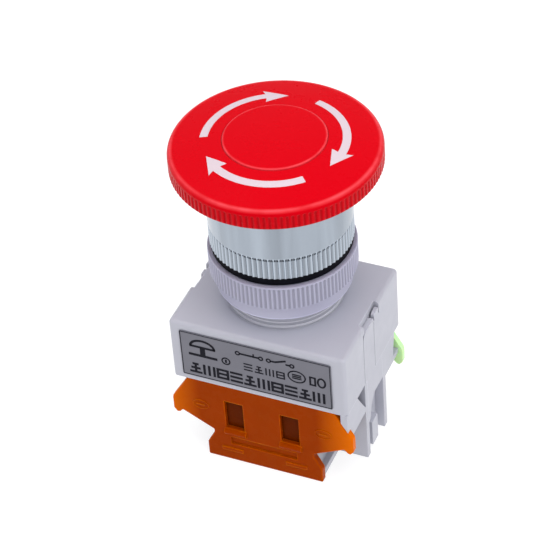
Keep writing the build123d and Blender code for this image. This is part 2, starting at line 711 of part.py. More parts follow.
def cover(place):
    """A clip-on cover with two sunk panes, a lip under each, a shallow band and two small bars."""
    outer, way = place["outer"], place["way"]
    face = Plane.XZ.offset(-outer)
    with BuildPart() as plate:
        with BuildSketch(face) as outline:
            cover_outline()
            fillet(outline.vertices(), 0.3)
        extrude(amount=-way * COVER_T)
        chamfer(plate.faces().sort_by(Axis.Y)[0 if way > 0 else -1].edges(), 0.15)
        with BuildSketch(face):
            with GridLocations(2 * PANE_X, 0, 2, 1):
                with Locations((0, PANE_Z)):
                    Rectangle(PANE_W, PANE_H)
        extrude(amount=-way * (COVER_T - PANE_T), mode=Mode.SUBTRACT)
        with BuildSketch(face):
            with Locations((0, BAND_Z)):
                Rectangle(BAND_W, BAND_H)
        extrude(amount=-way * BAND_DEPTH, mode=Mode.SUBTRACT)
        for side in (-1, 1):
            with Locations(Location((side * PANE_X, outer + way * (LIP_R - LIP_PROUD), LIP_Z), (0, 90, 0))):
                Cylinder(LIP_R, LIP_W)
            bar_x = (side * BAR_X[0], side * BAR_X[1])
            fill(bar_x, (outer - way * BAR_PROUD, outer + way * 0.3), BAR_Z)
    return plate.part


front_cover = cover(FRONT)
rear_cover = cover(REAR)

# --- Support frame between the contact blocks ---------------------------------------------------------------

FRAME_X = 16.3
FRAME_WALL = 1.4
FLANGE_T = 1.5  # the inward flanges that the frame screws hold
FLANGE_END_X = 3.6
FRAME_HOLE_R = 1.6
POST_Y, POST_Z = (-3.2, -0.4), (REST_Z + 1.0, -39.9)
TONGUE_T = 1.2

with BuildPart() as support_frame:
    gap = (FRONT_WALL, REAR_WALL)
    fill((-FRAME_X, FRAME_X), gap, (REST_Z, REST_Z + FRAME_WALL))
    for side in (-1, 1):
        fill((side * (FRAME_X - FRAME_WALL), side * FRAME_X), gap, (REST_Z, BODY_LOW))
        fill((side * FLANGE_END_X, side * FRAME_X), gap, (BODY_LOW - FLANGE_T, BODY_LOW))
        post(FRAME_HOLE_R, BODY_LOW - FLANGE_T, BODY_LOW, side * SCREW_X, SCREW_Y, Mode.SUBTRACT)
        fill((side * FRAME_X, side * HALF_W), POST_Y, POST_Z)
        side_plate(
            side,
            HALF_W - FRAME_X,
            [
                (FRONT_WALL, BODY_LOW),
                (REAR_WALL, BODY_LOW),
                (REAR_WALL, -33.1),
                (-1.2, -33.1),
                (-3.3, -35.0),
                (-3.7, -37.5),
                (FRONT_WALL, -38.5),
            ],
        )
        # tongue that snaps into the side of the mounting base
        with BuildSketch(Plane.YZ.offset(side * HALF_W)) as tongue:
            with Locations((sum(TONGUE_Y) / 2, (BODY_LOW + TONGUE_TOP) / 2)):
                Rectangle(TONGUE_Y[1] - TONGUE_Y[0] - 0.3, TONGUE_TOP - BODY_LOW)
            fillet(tongue.vertices().group_by(Axis.Z)[-1].sort_by(Axis.Y)[-1], 1.8)
        extrude(amount=-side * TONGUE_T)

# --- Fasteners ----------------------------------------------------------------------------------------------

HEAD_LOW, HEAD_TOP = -39.4, -36.9
WASHER_X, WASHER_Y, WASHER_H = 5.5, 5.6, 1.1
SHANK_R = 1.7


def pan_screw(x, y, head, head_r, shank_r, shank_top):
    """A pan-head screw with a cross slot, driven upwards from below. The head is given by its two heights."""
    post(head_r, *head, x, y)
    post(shank_r, head[1], shank_top, x, y)
    for turn in (0, 90):
        with Locations(Location((x, y, head[0] + 0.4), (0, 0, turn))):
            Box(head_r * 1.3, SLOT_W, 1.0, mode=Mode.SUBTRACT)


with BuildPart() as terminal_screws:
    head = (HEAD_LOW, HEAD_TOP)
    for side in (-1, 1):
        for place in (FRONT, REAR):
            pan_screw(side * TERMINAL_X, place["mid"], head, 2.7, SHANK_R, SCREW_BORE_TOP - 0.5)

with BuildPart() as clamp_washers:
    for side in (-1, 1):
        for place in (FRONT, REAR):
            x, y = side * TERMINAL_X, place["mid"]
            with Locations((x, y, HEAD_TOP + WASHER_H / 2)):
                Box(WASHER_X, WASHER_Y, WASHER_H)
            post(SHANK_R + PRESS_GAP, HEAD_TOP, HEAD_TOP + WASHER_H, x, y, Mode.SUBTRACT)

with BuildPart() as frame_screws:
    head_top = BODY_LOW - FLANGE_T
    for side in (-1, 1):
        pan_screw(side * SCREW_X, SCREW_Y, (head_top - 1.8, head_top), 2.6, PILOT_R - RUN_FIT, -19.0)

# --- Write every piece --------------------------------------------------------------------------------------

PIECES = {
    "mounting_base": mounting_base.part,
    "guide_bush": guide_bush.part,
    "label_plate": label_plate.part,
    "panel_gasket": panel_gasket.part,
    "slip_washer": slip_washer.part,
    "panel_nut": panel_nut.part,
    "bezel_ring": bezel_ring.part,
    "shaft_seal": shaft_seal.part,
    "latch_sleeve": latch_sleeve.part,
    "spindle": spindle.part,
    "latch_pin_left": latch_pin(-1),
    "latch_pin_right": latch_pin(1),
    "latch_spring": latch_spring.part,
    "mushroom_cap": mushroom_cap.part,
    "cap_arrows": cap_arrows.part,
    "centre_plug": centre_plug.part,
    "cap_screw": cap_screw.part,
    "release_cam": release_cam.part,
    "torsion_spring": torsion_spring,
    "return_spring": return_spring,
    "pusher_yoke": pusher_yoke.part,
    "nc_carrier": nc_carrier,
    "no_carrier": no_carrier,
    "nc_bridge": nc_bridge,
    "no_bridge": no_bridge,
    "nc_bridge_tips": nc_bridge_tips,
    "no_bridge_tips": no_bridge_tips,
    "nc_contact_spring": nc_contact_spring,
    "no_contact_spring": no_contact_spring,
    "fixed_contact_tips": fixed_contact_tips.part,
    "nc_contact_left": contact_strip(-1, FRONT["mid"], NC_PAD_LOW),
    "nc_contact_right": contact_strip(1, FRONT["mid"], NC_PAD_LOW),
    "no_contact_left": contact_strip(-1, REAR["mid"], NO_PAD_TOP - STRIP_T),
    "no_contact_right": contact_strip(1, REAR["mid"], NO_PAD_TOP - STRIP_T),
    "front_contact_block": front_contact_block,
    "rear_contact_block": rear_contact_block,
    "front_cover": front_cover,
    "rear_cover": rear_cover,
    "support_frame": support_frame.part,
    "terminal_screws": terminal_screws.part,
    "clamp_washers": clamp_washers.part,
    "frame_screws": frame_screws.part,
}

for name, piece in PIECES.items():
    save(piece, name)
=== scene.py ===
"""Looks of the twist-release emergency stop button: turned and printed pieces, materials, floor, lights.

Lengths are millimetres in the CAD frame, with the origin on the button's axis at the panel's front face and
+Z out of the panel. MM turns them into Blender's metres.
"""

import json
from math import ceil, cos, pi, radians, sin, sqrt

import bmesh
import bpy
from mathutils import Matrix, Vector


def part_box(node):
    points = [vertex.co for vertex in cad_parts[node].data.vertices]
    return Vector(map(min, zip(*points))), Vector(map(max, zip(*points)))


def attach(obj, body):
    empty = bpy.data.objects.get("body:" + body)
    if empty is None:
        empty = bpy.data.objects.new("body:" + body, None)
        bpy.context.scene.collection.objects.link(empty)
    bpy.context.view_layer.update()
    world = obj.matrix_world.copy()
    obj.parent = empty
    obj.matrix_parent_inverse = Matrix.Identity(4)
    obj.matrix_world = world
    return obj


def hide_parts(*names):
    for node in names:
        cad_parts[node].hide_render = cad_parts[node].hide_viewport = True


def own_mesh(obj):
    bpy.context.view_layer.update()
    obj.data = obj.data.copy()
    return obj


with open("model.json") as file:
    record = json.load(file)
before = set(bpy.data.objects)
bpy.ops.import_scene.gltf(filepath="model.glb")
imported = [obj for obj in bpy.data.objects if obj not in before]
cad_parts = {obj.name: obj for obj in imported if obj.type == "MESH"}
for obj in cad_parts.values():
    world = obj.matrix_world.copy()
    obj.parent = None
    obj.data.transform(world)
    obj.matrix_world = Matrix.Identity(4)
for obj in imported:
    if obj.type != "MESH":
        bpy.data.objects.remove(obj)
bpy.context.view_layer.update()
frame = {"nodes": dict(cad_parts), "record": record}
nodes = frame["nodes"]
scene = bpy.context.scene
MM = 0.001
UP = Vector((0, 0, 1))


def mm_box(node):
    """A CAD node's lowest and highest corners, in millimetres."""
    low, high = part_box(node)
    return low / MM, high / MM


# --- Sizes, from the frame where it has them ------------------------------------------------------------

cap_low, cap_high = mm_box("mushroom_cap")
plug_low, plug_high = mm_box("centre_plug")
bezel_low, bezel_high = mm_box("bezel_ring")
nut_low, nut_high = mm_box("panel_nut")
gasket_low, gasket_high = mm_box("panel_gasket")
label_low, label_high = mm_box("label_plate")

REST_Z = mm_box("support_frame")[0].z
NECK_R = 11.05  # bore of everything that goes over the neck
CAP_R = cap_high.x
RIM_LOW = 18.8
RIM_FLUTES, RIM_FLUTE_R, RIM_FLUTE_DEPTH = 120, 0.42, 0.15
RIM_BEND_R = 1.05  # rounding between the upright rim and the dome
RIM_BEND_Z = 21.79
DOME_SPHERE_R = 98.5
DOME_TOP = 24.7
CEILING_Z = 21.3
PLUG_R = 9.8
PLUG_FLOOR = plug_low.z + 1.0
WELL_R = 6.0
HUB_R, HUB_BORE, HUB_LOW = 7.4, 5.0, cap_low.z
BEZEL_R = bezel_high.x
BEZEL_BAND_TOP = 6.6
SEAL_R = 9.8
BEZEL_FLUTES, BEZEL_FLUTE_R, BEZEL_FLUTE_DEPTH = 84, 0.46, 0.26
GASKET_R = gasket_high.x
NUT_R = nut_high.x
NUT_SKIRT_R = 13.2
NUT_BAND_LOW = -5.35
NUT_EDGE = 0.3
NUT_FLUTES, NUT_FLUTE_R, NUT_FLUTE_DEPTH = 100, 0.32, 0.24
COLLAR_R, COLLAR_LOW = 11.2, -12.8  # the two steps at the foot of the neck
COLLAR_STEPS = (-11.2, -12.2)  # heights of their upper edges
# painted glow: light through the thin covers, shown as paleness across their wings
WING_GLOW = ((-13, -21), (11.5, 18.5))  # each wing of the covers gets paler from one X to the other
LIP_PROUD = 0.5  # the lips stand this far out of the covers
FRONT_Y = mm_box("front_cover")[0].y + LIP_PROUD
BACK_Y = mm_box("rear_cover")[1].y - LIP_PROUD

# --- Camera ---------------------------------------------------------------------------------------------

CAMERA_AZIMUTH = 25.31
CAMERA_ELEVATION = 41.23
CAMERA_ROLL = -4.24
CAMERA_DISTANCE = 459.6
CAMERA_LENS = 153.4
CAMERA_SHIFT = (-0.0108, 0.0175)
CAMERA_AIM = Vector((0, 0, -12.9))  # on the axis, level with the top of the base


def direction(azimuth, elevation):
    """Unit vector from the object: azimuth 0 is towards -Y and grows towards +X. Both in degrees."""
    a, e = radians(azimuth), radians(elevation)
    return Vector((sin(a) * cos(e), -cos(a) * cos(e), sin(e)))


def make_camera():
    back = direction(CAMERA_AZIMUTH, CAMERA_ELEVATION)
    right = UP.cross(back).normalized()
    up = back.cross(right)
    roll = radians(CAMERA_ROLL)
    rolled_right = cos(roll) * right + sin(roll) * up
    rolled_up = cos(roll) * up - sin(roll) * right
    data = bpy.data.cameras.new("camera")
    data.lens = CAMERA_LENS
    data.sensor_width = 36
    data.shift_x, data.shift_y = CAMERA_SHIFT
    data.clip_start, data.clip_end = 0.01, 20
    camera = bpy.data.objects.new("camera", data)
    scene.collection.objects.link(camera)
    turn = Matrix((rolled_right, rolled_up, back)).transposed().to_4x4()
    camera.matrix_world = Matrix.Translation((CAMERA_AIM + back * CAMERA_DISTANCE) * MM) @ turn
    scene.camera = camera


# --- Material kit ---------------------------------------------------------------------------------------


class Finish:
    """A principled material, with short calls for the detail laid over it. Sizes are millimetres."""

    def __init__(self, name, color, roughness, metallic=0.0, **sockets):
        self.material = bpy.data.materials.new(name)
        self.material.use_nodes = True
        self.tree = self.material.node_tree
        self.shader = self.tree.nodes["Principled BSDF"]
        self.color = color
        self.shader.inputs["Base Color"].default_value = (*color, 1)
        self.shader.inputs["Roughness"].default_value = roughness
        self.shader.inputs["Metallic"].default_value = metallic
        for socket, value in sockets.items():
            self.shader.inputs[socket.replace("_", " ")].default_value = value
        self.place = self.tree.nodes.new("ShaderNodeTexCoord").outputs["Object"]
        self.normal = None

    def node(self, kind, **settings):
        made = self.tree.nodes.new(kind)
        for name, value in settings.items():
            setattr(made, name, value)
        return made

    def link(self, output, socket):
        self.tree.links.new(output, socket)

    def noise(self, size, detail=3.0, stretch=(1, 1, 1)):
        """Noise with features of about that size, stretched along the axes where asked."""
        mapping = self.node("ShaderNodeMapping")
        mapping.inputs["Scale"].default_value = [1 / (size * MM * s) for s in stretch]
        self.link(self.place, mapping.inputs["Vector"])
        noise = self.node("ShaderNodeTexNoise")
        noise.inputs["Scale"].default_value = 1.0
        noise.inputs["Detail"].default_value = detail
        self.link(mapping.outputs["Vector"], noise.inputs["Vector"])
        return noise.outputs["Fac"]

    def spread(self, source, low, high, floor=0.3, ceiling=0.7):
        """Maps floor to ceiling of a value onto low to high."""
        ranged = self.node("ShaderNodeMapRange")
        ranged.inputs["From Min"].default_value = floor
        ranged.inputs["From Max"].default_value = ceiling
        ranged.inputs["To Min"].default_value = low
        ranged.inputs["To Max"].default_value = high
        self.link(source, ranged.inputs["Value"])
        return ranged.outputs["Result"]

    def along(self, axis, start, end):
        """0 at the start and 1 at the end, along X, Y or Z of the object."""
        parts = self.node("ShaderNodeSeparateXYZ")
        self.link(self.place, parts.inputs["Vector"])
        return self.spread(parts.outputs[axis], 0, 1, start * MM, end * MM)

    def outward(self, start, end):
        """0 at the first distance from the button's axis and 1 at the second."""
        flat = self.node("ShaderNodeVectorMath", operation="MULTIPLY")
        flat.inputs[1].default_value = (1, 1, 0)
        self.link(self.place, flat.inputs[0])
        length = self.node("ShaderNodeVectorMath", operation="LENGTH")
        self.link(flat.outputs["Vector"], length.inputs[0])
        return self.spread(length.outputs["Value"], 0, 1, start * MM, end * MM)

    def bump(self, source, depth):
        """Adds a bump of that depth over the ones before it."""
        made = self.node("ShaderNodeBump")
        made.inputs["Distance"].default_value = depth * MM
        self.link(source, made.inputs["Height"])
        if self.normal:
            self.link(self.normal, made.inputs["Normal"])
        self.normal = made.outputs["Normal"]
        self.link(self.normal, self.shader.inputs["Normal"])

    def soft_edges(self, radius):
        """Shades sharp edges as if they were rounded. Called before any bump."""
        made = self.node("ShaderNodeBevel", samples=6)
        made.inputs["Radius"].default_value = radius * MM
        self.normal = made.outputs["Normal"]
        self.link(self.normal, self.shader.inputs["Normal"])

    def edges(self, radius):
        """About 1 near a sharp edge and 0 elsewhere."""
        rounded = self.node("ShaderNodeBevel", samples=6)
        rounded.inputs["Radius"].default_value = radius * MM
        dot = self.node("ShaderNodeVectorMath", operation="DOT_PRODUCT")
        self.link(rounded.outputs["Normal"], dot.inputs[0])
        self.link(self.node("ShaderNodeNewGeometry").outputs["Normal"], dot.inputs[1])
        return self.spread(dot.outputs["Value"], 0, 1, 0.995, 0.8)

    def times(self, first, *others):
        """The product of some masks."""
        for other in others:
            made = self.node("ShaderNodeMath", operation="MULTIPLY")
            self.link(first, made.inputs[0])
            self.link(other, made.inputs[1])
            first = made.outputs["Value"]
        return first

    def grooves(self, band_r, depth, low, high):
        """1 at the bottom of the upright grooves in a band and 0 at its face, between two heights."""
        sunk = self.outward(band_r - 0.03, band_r - depth)
        inside = self.outward(band_r - 0.8, band_r - 0.7)
        return self.times(sunk, inside, self.along("Z", low - 0.1, low), self.along("Z", high + 0.1, high))

    def ring(self, radius, width, low):
        """1 at that distance from the button's axis and 0 a width away from it, above a height."""
        inner, outer = self.outward(radius - width, radius), self.outward(radius + width, radius)
        return self.times(inner, outer, self.along("Z", low - 0.1, low))

    def hollows(self, reach):
        """About 1 deep in a groove or corner and 0 in the open."""
        made = self.node("ShaderNodeAmbientOcclusion", samples=6)
        made.inputs["Distance"].default_value = reach * MM
        return self.spread(made.outputs["AO"], 1, 0, 0.35, 0.95)

    def tint(self, mask, color):
        """Mixes a colour over the ones before it where the mask is 1."""
        mix = self.node("ShaderNodeMix", data_type="RGBA")
        base = self.shader.inputs["Base Color"]
        if base.is_linked:
            self.link(base.links[0].from_socket, mix.inputs[6])
        else:
            mix.inputs[6].default_value = (*self.color, 1)
        mix.inputs[7].default_value = (*color, 1)
        self.link(mask, mix.inputs[0])
        self.link(mix.outputs[2], base)

    def mottle(self, size, amount, factor, stretch=(1, 1, 1)):
        """Uneven patches of the same colour, made lighter or darker by the factor."""
        self.tint(self.spread(self.noise(size, 4.0, stretch), 0, amount), shade(self.color, factor))

    def vary_roughness(self, size, low, high):
        self.link(self.spread(self.noise(size, 4.0), low, high), self.shader.inputs["Roughness"])


def shade(color, factor):
    return tuple(min(1.0, c * factor) for c in color)


def moulded(name, color, roughness, edge=0.15, edge_highlight=1.1, **sockets):
    """Moulded plastic: sink waves, fine grain, faint mottling, and rounded edges made paler by
    edge_highlight, a painted highlight.
    """
    finish = Finish(name, color, roughness, **sockets)
    finish.soft_edges(edge)
    finish.bump(finish.noise(7.0, 1.0), 0.03)
    finish.bump(finish.noise(0.25, 2.0), 0.003)
    finish.mottle(12.0, 0.5, 0.95)
    finish.mottle(0.5, 0.25, 0.97)
    # painted highlight: sharp edges made paler, for the light that rounded edges catch
    finish.tint(finish.edges(edge * 1.6), shade(color, edge_highlight))
    finish.vary_roughness(3.0, roughness - 0.05, roughness + 0.07)
    return finish


# --- Materials ------------------------------------------------------------------------------------------

RED = (0.63, 0.0002, 0.006)
# painted highlight colour for the plug's edge and the rim's bend
PAINTED_HIGHLIGHT_RED = (0.88, 0.10, 0.12)
LIGHT_GREY = (0.49, 0.495, 0.56)
LAVENDER = (0.44, 0.435, 0.565)
SILVER = (0.33, 0.37, 0.42)
FOIL = (0.165, 0.165, 0.195)
ORANGE = (0.34, 0.042, 0.0)
# painted glow colour for the orange covers' wings and edges
ORANGE_GLOW = (0.75, 0.15, 0.0005)
GREEN = (0.60, 0.95, 0.45)
INLAY = (0.66, 0.54, 0.59)
RUBBER = (0.002, 0.002, 0.004)
INK = (0.003, 0.003, 0.008)
BRASS = (0.72, 0.50, 0.20)
CONTACT_SILVER = (0.80, 0.80, 0.77)
SCREW_STEEL = (0.50, 0.50, 0.50)
SPRING_STEEL = (0.42, 0.42, 0.44)
INNER_GREY = (0.70, 0.70, 0.68)


def red_plastic():
    """The cap and its plug: painted shade in hollows and between the rim's ribs, and painted highlights,
    broken up in places, along the plug's edge and the rim's upper bend.
    """
    finish = moulded("red_cap", RED, 0.28, 0.1, Specular_IOR_Level=0.09, Specular_Tint=(1, 0.1, 0.14, 1))
    # painted shade in hollows
    finish.tint(finish.hollows(0.8), shade(RED, 0.6))
    # painted shade between the rim's ribs
    finish.tint(finish.grooves(CAP_R, RIM_FLUTE_DEPTH, RIM_LOW, RIM_BEND_Z), shade(RED, 0.7))
    # painted highlights, broken up by noise, along the plug's rounded edge and the rim's upper bend
    highlight_patches = finish.spread(finish.noise(4.0, 3.0), 0.3, 0.8)
    finish.tint(finish.times(finish.ring(PLUG_R - 0.2, 0.3, DOME_TOP - 1), highlight_patches), PAINTED_HIGHLIGHT_RED)
    finish.tint(finish.times(finish.ring(CAP_R - 0.6, 0.5, RIM_BEND_Z + 0.3), highlight_patches), PAINTED_HIGHLIGHT_RED)
    return finish.material


def white_inlay():
    """The arrows in the dome."""
    return moulded("white_inlay", INLAY, 0.42, 0.04).material


def plated_metal():
    """Satin silver plating on a moulded ring."""
    finish = Finish("bezel_plating", SILVER, 0.16, 1.0)
    finish.bump(finish.noise(6.0, 2.0), 0.02)
    finish.bump(finish.noise(0.12, 2.0, (1, 1, 4)), 0.0004)
    # painted reflection: random vertical streaks, lighter and dimmer, in the plating's colour
    finish.mottle(5.0, 0.9, 0.8, (1, 1, 20))
    finish.mottle(3.5, 0.7, 1.3, (1, 1, 20))
    finish.tint(finish.along("Z", BEZEL_BAND_TOP + 0.1, BEZEL_BAND_TOP - 0.1), shade(SILVER, 1.35))
    # painted shade at the bottoms of the flutes
    grooves = finish.grooves(BEZEL_R, BEZEL_FLUTE_DEPTH, bezel_low.z, BEZEL_BAND_TOP)
    finish.tint(grooves, shade(SILVER, 0.7))
    finish.vary_roughness(1.5, 0.12, 0.22)
    return finish.material


def gasket_rubber():
    """Black rubber of the gasket and the shaft seal."""
    finish = Finish("gasket_rubber", RUBBER, 0.6, Specular_IOR_Level=0.04)
    finish.bump(finish.noise(0.3, 4.0), 0.01)
    finish.mottle(2.0, 0.6, 2.5)
    return finish.material


def nut_plastic():
    """The nut and its washer: painted shade in hollows and between the ribs, and a painted highlight along
    the lower edge.
    """
    finish = moulded("nut_plastic", LAVENDER, 0.38, 0.06, Subsurface_Weight=0.12,
                     Subsurface_Radius=(0.5, 0.5, 0.6), Subsurface_Scale=0.001)
    # painted shade in hollows
    finish.tint(finish.hollows(0.5), shade(LAVENDER, 0.8))
    # painted shade between the ribs
    grooves = finish.grooves(NUT_R, NUT_FLUTE_DEPTH, NUT_BAND_LOW, nut_high.z - 0.4)
    finish.tint(grooves, shade(LAVENDER, 0.65))
    # painted highlight along the skirt's lower edge
    finish.tint(finish.along("Z", nut_low.z + 0.5, nut_low.z + 0.2), shade(LAVENDER, 1.5))
    return finish.material


def housing_plastic():
    """The base, contact blocks and frame, with painted shade in hollows and on the collar's steps, and
    painted highlights on the steps' upper edges.
    """
    # edge_highlight of 1.3: painted highlight on sharp edges
    finish = moulded("housing_plastic", LIGHT_GREY, 0.40, 0.2, 1.3)
    # painted shade in hollows
    finish.tint(finish.hollows(0.8), shade(LIGHT_GREY, 0.88))
    collar = finish.ring(COLLAR_R, 0.25, COLLAR_LOW)
    # painted shade on the collar's steps
    finish.tint(collar, shade(LIGHT_GREY, 0.75))
    # painted highlight along the upper edge of each step
    for step_z in COLLAR_STEPS:
        below = finish.along("Z", step_z - 0.4, step_z - 0.2)
        above = finish.along("Z", step_z + 0.1, step_z)
        finish.tint(finish.times(collar, below, above), (0.95, 0.95, 1.0))
    return finish.material


def label_foil():
    """Silver foil with fine brushing along its length."""
    finish = Finish("label_foil", FOIL, 0.38, 0.35, Specular_IOR_Level=0.4)
    finish.bump(finish.noise(0.08, 3.0, (40, 1, 1)), 0.0008)
    finish.mottle(0.12, 0.6, 0.85, (60, 1, 1))
    finish.mottle(8.0, 0.6, 1.12)
    return finish.material


def printed_ink():
    """The label's black print."""
    finish = Finish("printed_ink", INK, 0.45, Specular_IOR_Level=0.1)
    finish.mottle(0.4, 0.4, 2.0)
    return finish.material


def clear_plastic(name, color, deep, glow):
    """Tinted, cloudy moulding with random patches of deeper colour: painted glow makes its wings and edges
    brighter, and painted shade deepens its colour in its hollows.
    """
    finish = Finish(name, color, 0.26, Specular_IOR_Level=0.03, Specular_Tint=(*shade(color, 1.3), 1),
                    Subsurface_Weight=0.35, Subsurface_Radius=(1.0, 0.5, 0.2), Subsurface_Scale=0.001)
    finish.soft_edges(0.2)
    finish.bump(finish.noise(5.0, 1.0), 0.03)
    finish.bump(finish.noise(0.3, 2.0), 0.002)
    finish.tint(finish.spread(finish.noise(9.0, 2.0), 0, 0.5), deep)
    # painted shade in hollows
    finish.tint(finish.hollows(0.7), deep)
    # painted glow across each wing, for light through the thin plastic
    for start, end in WING_GLOW:
        finish.tint(finish.along("X", start, end), glow)
    # painted glow along sharp edges, broken up by noise
    finish.tint(finish.times(finish.edges(0.4), finish.spread(finish.noise(3.0), 0.2, 0.8)), glow)
    finish.vary_roughness(2.0, 0.2, 0.34)
    return finish.material


def metal(name, color, roughness, grain=(1, 1, 1)):
    """Bare metal with a fine grain and some tarnish."""
    finish = Finish(name, color, roughness, 1.0)
    finish.soft_edges(0.08)
    finish.bump(finish.noise(0.12, 3.0, grain), 0.002)
    finish.mottle(1.6, 0.6, 0.72)
    finish.vary_roughness(0.8, roughness - 0.07, roughness + 0.1)
    return finish.material


MATERIALS = {
    "red_cap": red_plastic(),
    "white_inlay": white_inlay(),
    "bezel_plating": plated_metal(),
    "gasket_rubber": gasket_rubber(),
    "nut_plastic": nut_plastic(),
    "housing_plastic": housing_plastic(),
    "label_foil": label_foil(),
    "orange_cover": clear_plastic("orange_cover", ORANGE, shade(ORANGE, 0.8), ORANGE_GLOW),
    "green_cover": clear_plastic("green_cover", GREEN, shade(GREEN, 0.85), shade(GREEN, 1.05)),
    "contact_brass": metal("contact_brass", BRASS, 0.32, (3, 1, 1)),
    "contact_silver": metal("contact_silver", CONTACT_SILVER, 0.25),
    "screw_steel": metal("screw_steel", SCREW_STEEL, 0.33),
    "spring_steel": metal("spring_steel", SPRING_STEEL, 0.30),
    "inner_plastic": moulded("inner_plastic", INNER_GREY, 0.45).material,
}


def paint_nodes():
    """Gives every CAD node the material of its slot."""
    for part in frame["record"]["subparts"]:
        mesh = nodes[part["node"]].data
        mesh.materials.clear()
        mesh.materials.append(MATERIALS[part["material_slot"]])


# --- Mesh helpers ---------------------------------------------------------------------------------------


def add_piece(name, bm, slot, body, replaced=(), material=None, sharp=35):
    """Makes a piece of a bmesh, smooth up to the sharp angle, in place of the nodes it replaces."""
    bmesh.ops.remove_doubles(bm, verts=bm.verts, dist=1e-7)
    bmesh.ops.recalc_face_normals(bm, faces=bm.faces)
    mesh = bpy.data.meshes.new(name)
    bm.to_mesh(mesh)
    bm.free()
    mesh.shade_smooth()
    mesh.set_sharp_from_angle(angle=radians(sharp))
    mesh.materials.append(material or MATERIALS[slot])
    piece = bpy.data.objects.new(name, mesh)
    scene.collection.objects.link(piece)
    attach(piece, body)
    if replaced:
        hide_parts(*replaced)
    return piece


def rounded(corners, steps=4):
    """A closed profile of (radius, height, rounding) corners, as points."""
    points = []
    for index, (x, z, rounding) in enumerate(corners):
        corner = Vector((x, z))
        before = Vector(corners[index - 1][:2]) - corner
        after = Vector(corners[(index + 1) % len(corners)][:2]) - corner
        reach = min(rounding, before.length * 0.48, after.length * 0.48)
        if reach < 0.01:
            points.append(corner)
            continue
        start, end = corner + before.normalized() * reach, corner + after.normalized() * reach
        for step in range(steps + 1):
            t = step / steps
            points.append((1 - t) ** 2 * start + 2 * t * (1 - t) * corner + t * t * end)
    return points


def split_heights(points, heights):
    """Adds points where the profile's upright runs cross the given heights."""
    out = []
    for index, point in enumerate(points):
        out.append(point)
        after = points[(index + 1) % len(points)]
        rise = after.y - point.y
        if abs(rise) < 1e-6:
            continue
        shares = sorted((z - point.y) / rise for z in heights)
        out += [point.lerp(after, share) for share in shares if 1e-3 < share < 1 - 1e-3]
    return out


def bridge(bm, rings, next_rings):
    """Faces between each closed ring of vertices and the next."""
    for one, two in zip(rings, next_rings):
        for index in range(len(one)):
            after = (index + 1) % len(one)
            bm.faces.new((one[index], two[index], two[after], one[after]))


def lathe(points, angles, bend=None):
    """A closed profile turned about the button's axis. bend gives a radius from radius, height, angle."""
    bm = bmesh.new()
    rings = []
    for angle in angles:
        ring = []
        for radius, height in points:
            r = bend(radius, height, angle) if bend else radius
            ring.append(bm.verts.new((r * MM * cos(angle), r * MM * sin(angle), height * MM)))
        rings.append(ring)
    bridge(bm, rings, rings[1:] + rings[:1])
    return bm


def even_angles(count):
    return [2 * pi * step / count for step in range(count)]


class Flutes:
    """Upright round grooves in a band: open below, with a ball end at the top, sunk deeper by the pocket."""

    def __init__(self, count, band_r, groove_r, depth, low, high, pocket=0.0):
        self.count, self.band_r, self.groove_r = count, band_r, groove_r
        self.depth, self.low, self.high, self.pocket = depth, low, high, pocket
        self.half_width = sqrt(groove_r**2 - (groove_r - depth) ** 2)
        self.pitch = 2 * pi * band_r / count

    def angles(self):
        """Angles around the ring that catch each groove's edges and its hollow."""
        edge = self.half_width / self.pitch
        shares = [0.0] + [0.5 + edge * s for s in (-1.06, -0.96, -0.8, -0.5, 0.0, 0.5, 0.8, 0.96, 1.06)]
        return [2 * pi * (number + share) / self.count for number in range(self.count) for share in shares]

    def heights(self):
        """Heights that catch the grooves' ball ends."""
        first = -5 if self.pocket else 0
        return [self.low] + [self.high + self.half_width * sin(pi / 2 * s / 5) for s in range(first, 6)]

    def __call__(self, radius, height, angle):
        """The radius once the grooves are cut."""
        if height < self.low or radius < self.band_r - self.depth:
            return radius
        across = (angle * self.count / (2 * pi) % 1.0 - 0.5) * self.pitch
        over = max(0.0, height - self.high)
        inside = self.groove_r**2 - across**2 - over**2
        if inside > 0:
            radius = min(radius, self.band_r + self.groove_r - self.depth - sqrt(inside))
        near = self.half_width**2 - across**2 - (height - self.high) ** 2
        if self.pocket and near > 0:
            radius = min(radius, self.band_r - self.pocket * sqrt(near) / self.half_width)
        return radius


def add_box(bm, x_span, y_span, z_span, turn=0.0):
    """An upright block, then turned about the button's axis."""
    corners = [(x, y, z) for x in x_span for y in y_span for z in z_span]
    spin = Matrix.Rotation(turn, 3, "Z")
    verts = [bm.verts.new(spin @ Vector(corner) * MM) for corner in corners]
    for face in ((0, 1, 3, 2), (4, 6, 7, 5), (0, 4, 5, 1), (2, 3, 7, 6), (0, 2, 6, 4), (1, 5, 7, 3)):
        bm.faces.new([verts[index] for index in face])


# --- Cap ------------------------------------------------------------------------------------------------


def dome_z(radius, lift=0.0):
    return DOME_TOP + lift - DOME_SPHERE_R + sqrt(DOME_SPHERE_R**2 - radius**2)


def dome_points(inner, outer, count, lift=0.0):
    """Points along the dome from one radius to another, with no rounding."""
    step = (outer - inner) / count
    return [(inner + step * i, dome_z(inner + step * i, lift), 0) for i in range(count + 1)]


